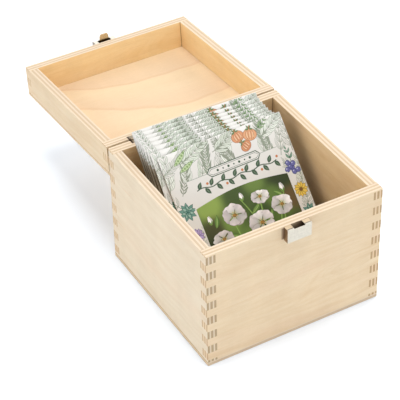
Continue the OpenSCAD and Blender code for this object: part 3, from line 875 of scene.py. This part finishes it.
def draw_front(kind):
    rnd = random.Random(4103)
    A = Art()
    wash = (226, 228, 217)
    faint = (136, 142, 124)
    # ---- top border: drawn branches with long leaves ----
    for (u, v, ang, size, bend, fern) in (
            (-62, 128, 1.25, 36, 0.3, 0), (-52, 124, 1.0, 40, 0.35, 1), (-44, 128, 1.45, 38, -0.4, 0), (-33, 126, 1.0, 40, 0.45, 0),
            (-22, 130, 1.5, 36, -0.3, 1), (-14, 128, 1.05, 40, 0.4, 0), (-2, 132, 1.5, 34, -0.5, 0), (6, 130, 1.9, 34, 0.2, 1),
            (33, 130, 1.3, 36, 0.35, 0), (41, 128, 1.75, 38, -0.2, 1), (48, 126, 1.2, 40, 0.3, 0), (60, 126, 1.5, 40, 0.2, 0),
            (-66, 144, 0.35, 34, 0.3, 0), (-44, 150, 0.30, 30, 0.2, 0), (-12, 150, 0.25, 26, 0.3, 0), (34, 146, 0.45, 30, 0.2, 0)):
        ink = rnd.choice((INK, INK, faint))
        if fern:
            A.frond((u, v), ang, size, bend, 14, 9.5, ink, rnd, 0.48)
        else:
            A.sprig((u, v), ang, size, bend, 6, 13.0, ink, rnd.choice((wash, PAPER, (214, 219, 204))), rnd, 0.48, 0.72,
                    fat=rnd.choice((0.22, 0.26, 0.30)))
    # pods with their seeds
    for (x, y, a, s_) in ((-50, 150, 0.5, 1.0), (-47, 143.5, 0.25, 0.95)):
        A.outlined((x, y), a, 19 * s_, 5.0 * s_, (96, 116, 84), (178, 196, 150), 0.46, 0.25, vein=False)
        for k in range(5):
            t = 0.2 + 0.15 * k
            A.add(disc((x + 19 * s_ * t * math.cos(a + 0.12 * t), y + 19 * s_ * t * math.sin(a + 0.12 * t)), 1.0 * s_, 8),
                  (128, 152, 98))
    # ---- fruit at the upper right ----
    orange, pale, rim, cap = (208, 146, 106), (222, 192, 156), (156, 110, 78), (104, 124, 78)
    A.gourd((15.5, 154.5), 6.4, 0.25, orange, pale, rim, cap)
    A.gourd((27, 152.5), 6.8, -0.2, (212, 156, 114), pale, rim, cap)
    A.gourd((20, 144.6), 5.6, 0.6, (204, 138, 98), pale, rim, cap)
    A.sprig((34, 155), 0.25, 13, 0.5, 3, 6.5, (84, 112, 74), (160, 180, 136), rnd, 0.46)
    # ---- side borders, drawn to the very edge ----
    for sgn in (-1, 1):
        for k in range(9):
            A.sprig((sgn * 56 + rnd.uniform(-4, 4), -6 + 15 * k + rnd.uniform(-3, 3)), math.pi / 2 + rnd.uniform(-0.7, 0.7), 24,
                    rnd.uniform(-0.5, 0.5), 5, 9.0, rnd.choice((INK, INK, faint)), rnd.choice((wash, PAPER)), rnd, 0.48,
                    fat=rnd.choice((0.26, 0.36)))
    if kind in (1, 3):
        # painted shade: a brown strip down the left side, with close drawing in dark browns that stand for shade on the
        # print
        A.add(box2(-62, 0, -53.5, 144), (158, 146, 124))
        for k in range(29):
            A.sprig((-59 + rnd.uniform(-3, 5), -4 + 5.0 * k), math.pi / 2 + rnd.uniform(-0.9, 0.9), 14, rnd.uniform(-0.6, 0.6), 4, 6.5,
                    rnd.choice(((104, 94, 74), (88, 84, 66), (120, 104, 82))), (164, 154, 132), rnd, 0.60, fat=0.30)
    rnd = random.Random(4200)
    A.rosette((-53, 110), 8.6, 9, (48, 90, 80), (104, 146, 132), (150, 180, 164), rnd)
    A.bloom((-52.5, 88), 6.8, 12, (104, 84, 132), (176, 158, 200), (196, 160, 84), rnd)
    A.bloom((-53, 52), 7.2, 12, (140, 110, 40), (220, 186, 84), (140, 96, 48), rnd)
    A.berries((53.6, 112), 2.6, 7, (100, 100, 156), (180, 182, 210), (58, 60, 108), rnd)
    A.sprig((54.5, 117), 1.4, 12, 0.4, 2, 6.5, (62, 98, 78), (136, 168, 144), rnd, 0.44)
    A.bloom((54.0, 92), 7.2, 11, (140, 110, 40), (224, 190, 84), (120, 82, 40), rnd)
    A.rosette((54.5, 72), 7.2, 8, (48, 90, 80), (104, 146, 132), (150, 180, 164), rnd)
    A.berries((54.5, 40), 2.3, 5, (196, 110, 88), (226, 186, 166), (130, 64, 50), rnd)
    A.sprig((-16, 3), 0.15, 44, 0.1, 7, 8.0, INK, wash, rnd, 0.48)
    A.frond((30, 4), 0.3, 26, 0.35, 10, 6.5, INK, rnd, 0.46)
    # ---- bare plate and a garland in place of a title ----
    A.add(box2(-44.5, 116.5, 46.5, 134.2), PAPER)
    A.add(box2(-44.5, 134.0, 46.5, 134.45), (150, 158, 146))
    for lw, grow in ((0.75, 0.0), (0.35, -1.5)):
        x0, x1, y0, y1, c = -24 - grow, 30 + grow, 130.0 - grow, 138.2 + grow, 3.4
        ring_ = [(x0 + c, y0), (x1 - c, y0), (x1, (y0 + y1) / 2), (x1 - c, y1), (x0 + c, y1), (x0, (y0 + y1) / 2)]
        cx, cy = (x0 + x1) / 2, (y0 + y1) / 2
        hole = [(cx + (p[0] - cx) * (1 - lw / ((x1 - x0) / 2)), cy + (p[1] - cy) * (1 - lw / ((y1 - y0) / 2))) for p in ring_]
        A.add(ring_, DARK)
        A.add(hole, PAPER)
    for k in range(7):
        A.add(disc((3 + (k - 3) * 5.4, 134.1), 1.15 if k % 2 == 0 else 0.75, 8), DARK)
    vine = [(-38 + 80 * i / 30, 123.6 + 1.0 * math.sin(i * 0.85)) for i in range(31)]
    A.add(ribbon(vine, 0.9, 0.9), DARK)
    for k in range(14):
        x = -36.0 + 76 * k / 13
        up = 1 if k % 2 == 0 else -1
        A.add(leaf((x, 123.6), up * 1.12, 7.4, 3.9, -0.25 * up, 7), DARK)
        A.add(leaf((x + 0.8, 123.6 + up * 1.5), up * 1.12, 4.8, 0.55, -0.25 * up, 3), (128, 146, 120))
        if k % 3 == 1:
            A.add(disc((x + 3.4, 123.6 - up * 3.0), 1.25, 8), (190, 122, 78))
    # ---- picture panel with a low arched top ----
    rnd = random.Random(4300 + kind)
    px0, px1, py0 = -45.0, 47.0, 20.0
    arch = [(px0, py0), (px1, py0)]
    for i in range(13):
        t = i / 12
        arch.append((px1 + (px0 - px1) * t, 109.5 + 5.0 * math.sin(math.pi * t)))
    A.add([(((p[0] - 1.0) * 1.02) + 1.0, ((p[1] - 68) * 1.02) + 68) for p in arch], PAPER)
    ground = picture_ground(rnd)
    A.add(arch, ground)
    lim = (px0, py0, px1, 109.5)
    y = py0 + 1.5
    while y < 114.0:
        x = px0 + 1.3
        while x < px1 - 1.0:
            if y < 109.0 + 4.6 * math.sin(math.pi * (x - px0) / (px1 - px0)):
                A.dots.append((x + rnd.uniform(-0.5, 0.5), y + rnd.uniform(-0.5, 0.5)))
            x += 2.6
        y += 2.4
    stem = (112, 146, 66)
    for (a, b, c, w) in (((-18, 94), (-12, 70), (-16, 40), 2.0), ((14, 98), (10, 80), (14, 50), 1.8),
                         ((31, 86), (24, 70), (20, 46), 1.7), ((-33, 74), (-26, 60), (-22, 36), 1.7),
                         ((2, 74), (4, 60), (0, 34), 2.0), ((38, 98), (34, 84), (27, 66), 1.2), ((-4, 104), (2, 92), (6, 76), 1.2)):
        A.add(ribbon(bez(a, b, c, 8), w * 0.7, w), stem, lim)
        A.add(ribbon(bez((a[0] - 0.3, a[1]), (b[0] - 0.4, b[1]), (c[0] - 0.4, c[1]), 8), w * 0.25, w * 0.3), (150, 180, 96), lim)
    for (x, y_, a, l_) in ((-14, 72, 2.5, 15), (12, 74, 0.7, 16), (24, 62, 2.3, 14), (-26, 58, 0.8, 15), (4, 60, 2.6, 17),
                           (-2, 48, 0.6, 18), (-34, 88, 1.0, 12), (36, 92, 2.2, 12), (2, 88, 0.4, 13), (-8, 96, 2.3, 11)):
        A.add(leaf((x, y_), a, l_, l_ * 0.38, 0.35, 7), (84, 116, 50), lim)
        A.add(leaf((x + 0.3, y_ + 0.5), a + 0.05, l_ * 0.92, l_ * 0.17, 0.35, 6), (118, 148, 74), lim)
        A.add(leaf((x + 0.4, y_), a, l_ * 0.9, l_ * 0.05, 0.35, 6), (150, 176, 100), lim)
    hues = (((251, 247, 243), (176, 132, 62)), ((226, 190, 84), (140, 90, 42)),
            ((218, 164, 182), (188, 152, 74)), ((220, 116, 80), (84, 58, 40)))
    hue, eye = hues[kind % 4]
    spots = ((-14, 93, 12.5, 5, 0.86), (14, 100, 10.0, 5, 0.70), (8, 79, 13.5, 6, 0.84), (31, 86, 11.0, 5, 0.90),
             (-31, 78, 11.0, 5, 0.66), (-9, 62, 13.0, 6, 0.84), (24, 58, 12.0, 5, 0.80), (-30, 46, 10.5, 5, 0.86),
             (8, 36, 11.5, 6, 0.86), (36, 36, 9.5, 5, 0.9))
    for (x, y_, r, n, tilt) in spots:
        A.picture_bloom((x + rnd.uniform(-1, 1), y_ + rnd.uniform(-1, 1)), r, n, hue, eye, rnd, lim, tilt, rnd.uniform(0, 1))
    for (x, y_, r) in ((-2, 106, 3.0), (37, 101, 3.4), (-37, 97, 3.2)):
        A.add(leaf((x, y_ - r * 1.5), 1.5, r * 2.6, r * 1.3, 0.1, 7), tuple(v * 0.82 for v in hue), lim)
        A.add(leaf((x - 0.4, y_ - r * 1.3), 1.6, r * 2.3, r * 0.8, 0.1, 7), tuple(v * 0.98 for v in hue), lim)
        for d in (-0.5, 0.5):
            A.add(leaf((x, y_ - r * 1.6), 1.55 + d, r * 1.4, r * 0.5, -d * 0.6, 5), (108, 142, 64), lim)
    return A


def draw_back():
    A = Art()
    rnd = random.Random(77)
    A.add(box2(-52, 20, 52, 128), (184, 184, 172))
    A.add(box2(-51.5, 20.5, 51.5, 127.5), (212, 213, 204))
    # twelve cells, as for the months to sow and to pick
    for row, (cols, col) in enumerate((((2, 3, 4), (132, 158, 100)), ((6, 7, 8, 9), (226, 158, 100)))):
        for k in range(12):
            x0, y0 = -45 + k * 7.5, 96 - row * 9
            A.add(box2(x0, y0, x0 + 6.9, y0 + 6.2), DARK)
            A.add(box2(x0 + 0.35, y0 + 0.35, x0 + 6.55, y0 + 5.85), col if k in cols else PAPER)
    # ruled lines left blank
    for k in range(5):
        A.add(box2(-45, 72 - k * 7.5, 45, 72.35 - k * 7.5), (150, 160, 142))
    A.sprig((-44, 110), 0.25, 30, 0.1, 5, 8.0, INK, (205, 209, 198), rnd, 0.5)
    A.sprig((44, 110), math.pi - 0.25, 30, -0.1, 5, 8.0, INK, (205, 209, 198), rnd, 0.5)
    A.bloom((0, 115), 7.0, 12, (150, 120, 44), (236, 202, 92), (150, 104, 52), rnd)
    A.frond((-38, 27), 0.2, 30, 0.1, 12, 5.5, INK, rnd, 0.46)
    A.frond((38, 27), math.pi - 0.2, 30, -0.1, 12, 5.5, INK, rnd, 0.46)
    return A


def smooth(a, b, x):
    t = min(1.0, max(0.0, (x - a) / (b - a)))
    return t * t * (3 - 2 * t)


def outline(step=3.0, r=0.7):
    """The packet's outline with slightly rounded corners."""
    pts = []
    hw = PW / 2
    for cx, cy, a0 in ((hw - r, r, -90), (hw - r, PL - r, 0), (-hw + r, PL - r, 90), (-hw + r, r, 180)):
        for k in range(4):
            a = math.radians(a0 + 30 * k)
            pts.append((cx + r * math.cos(a), cy + r * math.sin(a)))
    out = []
    for p, q in zip(pts, pts[1:] + pts[:1]):
        n = max(1, int(math.hypot(q[0] - p[0], q[1] - p[1]) / step))
        for i in range(n):
            out.append((p[0] + (q[0] - p[0]) * i / n, p[1] + (q[1] - p[1]) * i / n))
    return out


FLAP = [(-58, 161.2), (-58, 150), (-53, 143.5), (53, 143.5), (58, 150), (58, 161.2)]


def flap_depth(u, v):
    """Distance inside the glued top flap, negative outside."""
    d = np.minimum(58 - np.abs(u), v - 143.5)
    return np.minimum(d, ((58 - np.abs(u)) * 6.5 + (v - 150) * 5) / 8.2)


def sheet_mesh(art, extra=()):
    """Cuts the drawing into the sheet: (points, triangles, paint of each)."""
    rim = outline()
    pts, faces, paints = list(rim), [list(range(len(rim)))], [PAPER]
    for poly in extra:
        faces.append(list(range(len(pts), len(pts) + len(poly))))
        pts.extend(poly)
        paints.append(None)
    for poly, paint in art.polys:
        faces.append(list(range(len(pts), len(pts) + len(poly))))
        pts.extend(poly)
        paints.append(paint)
    n_rim = len(rim)
    # points that let the sheet bend
    y = 4.0
    while y < PL - 2:
        x = -PW / 2 + 4.0
        while x < PW / 2 - 2:
            pts.append((x + 0.37 * math.sin(y * 1.7), y + 0.31 * math.sin(x * 1.3)))
            x += 5.75
        y += 5.85
    for s in (-1, 1):
        for d in (0.22, 0.6):
            k = 1.4
            while k < PL - 1.2:
                pts.append((s * (PW / 2 - d), k))
                k += 3.05
    pts.extend(art.dots)
    co, _, tris, _, _, origin = delaunay_2d_cdt([Vector(p) for p in pts], [], faces, 0, 1e-4, True)
    kinds = []
    for o in origin:
        best = PAPER
        for k in sorted(o, reverse=True):
            if paints[k] is not None:
                best = paints[k]
                break
        kinds.append(best)
    return [(c[0], c[1]) for c in co], [tuple(t) for t in tris], kinds


def steps(a, b, x):
    t = np.clip((x - a) / (b - a), 0.0, 1.0)
    return t * t * (3 - 2 * t)


def arrays(sheet, off):
    """A cut sheet as arrays: points, triangles, linear colours, uv."""
    co, tris, kinds = sheet
    table, cols, keep = {}, [], []
    for t, paint in zip(tris, kinds):
        pts = [co[k] for k in t]
        if abs(area(pts)) < 1e-6:
            continue
        keep.append(t)
        row = []
        if callable(paint):
            cu, cv = sum(p[0] for p in pts) / 3, sum(p[1] for p in pts) / 3
            for p in pts:
                c = paint(p[0] + (cu - p[0]) * 0.02, p[1] + (cv - p[1]) * 0.02)
                row.append((*lin([min(255.0, max(0.0, k)) for k in c]), 1.0))
        else:
            if paint not in table:
                table[paint] = (*lin(paint), 1.0)
            row = [table[paint]] * 3
        cols.append(row)
    co = np.array(co, dtype=float)
    tris = np.array(keep, dtype=int)
    uv = np.stack([off + (co[:, 0] + PW / 2) / 260.0, 0.005 + co[:, 1] / 260.0], 1)[tris]
    return co, tris, np.array(cols), uv


def packet_mesh(name, front, rear_, seed, painted_shade_margin):
    rnd = random.Random(seed)
    ph = [rnd.uniform(0, 6.28) for _ in range(8)]
    curl = [rnd.uniform(-0.45, 0.45), rnd.uniform(-0.45, 0.45)]
    hw = PW / 2

    def bend(u, v):
        wave = 0.06 * np.sin(u * 0.055 + ph[4]) * np.sin(v * 0.035 + ph[5])
        return wave * steps(60, 150, v) + steps(95, 160, v) * steps(15, 61, np.abs(u)) * np.where(u < 0, curl[0], curl[1]) * 0.12

    def half(u, v, rear):
        d = hw - np.abs(u)
        fold = np.sqrt(np.clip(1 - (1 - np.clip(d / 0.6, 0, 1)) ** 2, 0, 1))
        full = steps(0, 16, hw - 3 - np.abs(u)) * steps(4, 24, v) * (1 - 0.58 * steps(45, 112, v)) * (1 - steps(112, 154, v))
        h = 0.25 + 0.66 * full
        h = h + full * (1 if not rear else 0.7) * (
            0.05 * np.sin(u * 0.31 + ph[0]) * np.sin(v * 0.27 + ph[1])
            + 0.03 * np.sin(u * 0.83 + v * 0.5 + ph[2]) * np.sin(v * 0.77 + ph[3]))
        h = h * fold * (0.45 + 0.55 * steps(0, 1.6, np.minimum(v, PL - v)))
        if rear:
            h = h + 0.14 * np.clip(flap_depth(u, v) / 0.3, 0, 1) * fold
        return h

    (cf, tf, kf, uf), (cr, tr, kr, ur) = front, rear_
    u, v = cf[:, 0], cf[:, 1]
    hf = half(u, v, False)
    pf = np.stack([u, -hf + bend(u, v), v], 1)
    u, v = cr[:, 0], cr[:, 1]
    hr = half(u, v, True)
    pr = np.stack([-u, hr + bend(-u, v), v], 1)
    # the rims of the two sheets, weld at the side folds
    rim = np.array(outline())
    at_f = [int(np.argmin((cf[:, 0] - p[0]) ** 2 + (cf[:, 1] - p[1]) ** 2)) for p in rim]
    at_r = [int(np.argmin((cr[:, 0] + p[0]) ** 2 + (cr[:, 1] - p[1]) ** 2)) for p in rim]
    index = np.arange(len(cr)) + len(cf)
    for a, b in zip(at_f, at_r):
        if hf[a] + hr[b] < 1e-4:
            index[b] = a
    faces = [list(t) for t in tf] + [list(t) for t in index[tr]]
    cu, cv = cf[tf].reshape(-1, 2).T
    ink_f = kf.reshape(-1, 4).copy()
    # painted shade: the front's colours are darkened by up to 5 % towards the top of the packet
    ink_f[:, :3] *= (1 - 0.05 * steps(104, 146, cv))[:, None]
    if painted_shade_margin:
        # painted shade: the left margin is painted brown, softly at its upper end
        margin = (0.72 * (1 - steps(-54.5, -53.5, cu)) * (1 - steps(138, 150, cv)))[:, None]
        ink_f[:, :3] = ink_f[:, :3] * (1 - margin) + np.array(lin((112, 98, 76))) * margin
    ink_rows = [ink_f, kr.reshape(-1, 4)]
    uv_rows = [uf.reshape(-1, 2), ur.reshape(-1, 2)]
    edge = (*lin(PAPER), 1.0)
    # painted shade: on packets with the brown margin, the left side edge below the flap is painted brown
    shaded_edge = (*lin((118, 104, 82)), 1.0) if painted_shade_margin else edge
    n = len(rim)
    for i in range(n):
        j = (i + 1) % n
        loop = []
        for k in (at_f[j], at_f[i], int(index[at_r[i]]), int(index[at_r[j]])):
            if k not in loop:
                loop.append(k)
        if len(loop) < 3:
            continue
        faces.append(loop)
        painted_shade_pick = rim[i][0] < 1.0 - PW / 2 and rim[i][1] < 147 and rim[j][1] < 147
        ink_rows.append(np.tile(shaded_edge if painted_shade_pick else edge, (len(loop), 1)))
        uv_rows.append(np.array([(0.02 + 0.003 * q + 0.0004 * i, 0.70 + 0.002 * (q % 2)) for q in range(len(loop))]))
    used = sorted({k for f in faces for k in f})
    new = {k: i for i, k in enumerate(used)}
    verts = np.concatenate([pf, pr])[used] * MM
    mesh = bpy.data.meshes.new(name)
    mesh.from_pydata(verts.tolist(), [], [[new[k] for k in f] for f in faces])
    ink = mesh.attributes.new("ink", "FLOAT_COLOR", "CORNER")
    ink.data.foreach_set("color", np.concatenate(ink_rows).ravel())
    layer = mesh.uv_layers.new(name="OFBake")
    layer.data.foreach_set("uv", np.concatenate(uv_rows).ravel())
    mesh.polygons.foreach_set("use_smooth", [True] * len(mesh.polygons))
    mesh.update()
    return mesh


T = Tree("packet_print")
ink = T.node("ShaderNodeAttribute")
ink.attribute_name = "ink"
obj = T.coord().outputs["Object"]
px, py, pz = (T.dot(obj, (1000 * (i == 0), 1000 * (i == 1), 1000 * (i == 2))) for i in range(3))
pv = T.vec(px, py, pz)
fibre = T.noise(pv, 2.4, 4.0, 0.65)
cloud = T.noise(pv, 0.05, 2.0, 0.5)
shade = T.add(T.add(0.965, T.mul(T.sub(fibre, 0.5), 0.05)), T.mul(T.sub(cloud, 0.5), 0.05))
T.put(T.bsdf.inputs["Base Color"], T.scale_colour(ink.outputs["Color"], shade))
T.put(T.bsdf.inputs["Roughness"], T.add(0.50, T.mul(fibre, 0.18)))
T.bsdf.inputs["Specular IOR Level"].default_value = 0.35
T.bump(fibre, 0.00003, 0.5)
print_mat = T.mat

side_place = [5.3, -4.5, -8.8, -10.7, -11.6, -12.1, -12.6, -8.7]
own_turn = [1.3, -0.9, -2.1, -2.4, -2.6, -2.6, -2.6, -1.2]
proud = [0, 0.8, 0.4, 0.8, 1.2, 1.6, 2.4, 4.4]
first_foot, last_foot = -65.4, -34.2
kinds = [0, 2, 1, 3, 1, 3, 1, 3]
fronts = {k: arrays(sheet_mesh(draw_front(k)), 0.005) for k in sorted(set(kinds))}
flap_in = [(-57.7, 161.0), (-57.7, 150.2), (-52.9, 143.8), (52.9, 143.8), (57.7, 150.2), (57.7, 161.0)]
rear = arrays(sheet_mesh(draw_back(), extra=(FLAP, flap_in)), 0.51)
for i in range(8):
    lean = math.radians(41.3 + (39 - 41.3) * i / 7)
    foot = first_foot + (last_foot - first_foot) * i / 7
    turn = math.radians(own_turn[i])
    lift = 0.6 + proud[i] + PW / 2 * math.sin(abs(turn)) * math.cos(lean)
    mesh = packet_mesh(f"packet_{i + 1}_paper", fronts[kinds[i]], rear, 900 + i, kinds[i] in (1, 3))
    mesh.materials.append(print_mat)
    o = bpy.data.objects.new(f"packet_{i + 1}_paper", mesh)
    scene.collection.objects.link(o)
    mesh.transform(Matrix.Translation((side_place[i] * MM, (foot + lift * math.tan(lean)) * MM, (4 + lift) * MM))
                   @ Matrix.Rotation(-lean, 4, "X") @ Matrix.Rotation(-turn, 4, "Y"))
    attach(o, f"seed_packet_{i + 1}")
    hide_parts(f"packet_{i + 1}")

# --------------------------------------------------------------------------
# floor
# --------------------------------------------------------------------------

mesh = bpy.data.meshes.new("floor")
grid = bmesh.new()
bmesh.ops.create_grid(grid, x_segments=12, y_segments=12, size=6.0)
grid.to_mesh(mesh)
grid.free()
floor = bpy.data.objects.new("floor", mesh)
floor.location = (0, 0, -0.0002)
scene.collection.objects.link(floor)
T = Tree("floor_paper")
soft = T.noise(T.coord().outputs["Object"], 3.0, 2.0)
T.put(T.bsdf.inputs["Base Color"], T.mix(soft, (0.89, 0.94, 0.995), (0.90, 0.95, 1.0)))
T.bsdf.inputs["Roughness"].default_value = 0.9
T.bsdf.inputs["Specular IOR Level"].default_value = 0.1
mesh.materials.append(T.mat)
